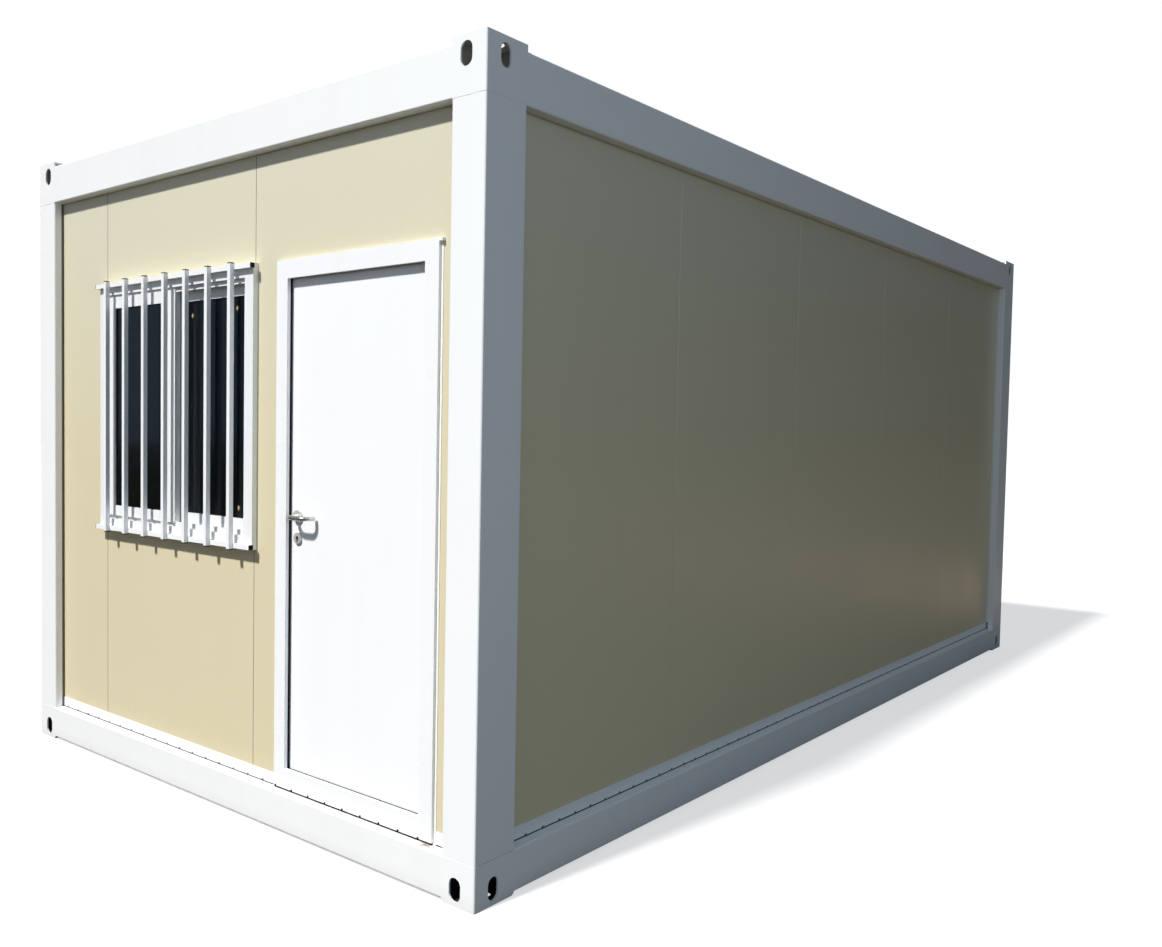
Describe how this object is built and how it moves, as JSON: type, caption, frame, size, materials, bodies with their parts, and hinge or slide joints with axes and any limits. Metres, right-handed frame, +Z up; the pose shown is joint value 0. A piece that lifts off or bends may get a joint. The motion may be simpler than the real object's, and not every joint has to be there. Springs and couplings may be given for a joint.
{
  "type": "shipping container cabin",
  "caption": "Flat-pack container cabin: white folded steel frame with corner fittings, cream sandwich panels, a hinged door with a lever handle and a barred sliding window.",
  "frame": {"origin": "middle of the plan, on the ground under the foot fittings", "axes": "+Z up, +Y along the cabin from the door end to the back, +X to the right seen from the door end"},
  "size_m": [2.99, 6.074, 2.896],
  "materials": {
    "frame_paint": "white powder coat",
    "galvanised_steel": "zinc coated steel sheet",
    "floor_vinyl": "grey vinyl on cement board",
    "ceiling_paint": "white coil coat",
    "panel_skin": "cream coil coat, satin",
    "track_paint": "white coil coat",
    "seal_rubber": "black extruded rubber",
    "window_plastic": "white window plastic",
    "window_glass": "clear float glass",
    "bar_paint": "white powder coat",
    "door_frame_paint": "white powder coat",
    "door_paint": "white coil coat",
    "hinge_steel": "plain steel",
    "handle_steel": "brushed stainless steel"
  },
  "bodies": {
    "cabin": {"foot_fitting_front_right": "frame_paint", "head_fitting_front_right": "frame_paint", "corner_post_front_right": "frame_paint", "foot_fitting_front_left": "frame_paint", "head_fitting_front_left": "frame_paint", "corner_post_front_left": "frame_paint", "foot_fitting_back_right": "frame_paint", "head_fitting_back_right": "frame_paint", "corner_post_back_right": "frame_paint", "foot_fitting_back_left": "frame_paint", "head_fitting_back_left": "frame_paint", "corner_post_back_left": "frame_paint", "floor_beam_front": "frame_paint", "roof_beam_front": "frame_paint", "floor_beam_right": "frame_paint", "roof_beam_right": "frame_paint", "floor_beam_back": "frame_paint", "roof_beam_back": "frame_paint", "floor_beam_left": "frame_paint", "roof_beam_left": "frame_paint", "floor_joists": "galvanised_steel", "floor_board": "floor_vinyl", "roof_sheet": "galvanised_steel", "ceiling_sheet": "ceiling_paint", "right_wall_panels": "panel_skin", "left_wall_panels": "panel_skin", "back_wall_panels": "panel_skin", "front_panel_left": "panel_skin", "front_panel_under_window": "panel_skin", "front_panel_over_window": "panel_skin", "front_panel_door_bay": "panel_skin", "wall_base_tracks": "track_paint", "track_bedding_strips": "seal_rubber", "post_seals": "seal_rubber", "inner_corner_trims": "track_paint", "window_frame": "window_plastic", "window_sash_left": "window_plastic", "window_sash_right": "window_plastic", "window_glass": "window_glass", "window_security_bars": "bar_paint", "door_sill": "door_frame_paint", "door_head": "door_frame_paint", "door_jamb_latch": "door_frame_paint", "door_jamb_hinge": "door_frame_paint", "hinge_frame_halves": "hinge_steel"},
    "door": {"door_leaf": "door_paint", "hinge_leaf_halves": "hinge_steel", "door_handle_plates": "handle_steel"},
    "lever_handle": {"door_lever": "handle_steel"}
  },
  "joints": [
    {"name": "door_swing", "type": "hinge", "parent": "cabin", "child": "door", "pos_m": [1.2165, -2.912, 1.215], "axis": [0, 0, -1], "range_deg": [0, 90]},
    {"name": "lever_turn", "type": "hinge", "parent": "door", "child": "lever_handle", "pos_m": [0.497, -2.943, 1.254], "axis": [0, 1, 0], "range_deg": [0, 45], "stiffness_Nm_per_rad": 0.8, "springref_deg": -17.19}
  ]
}
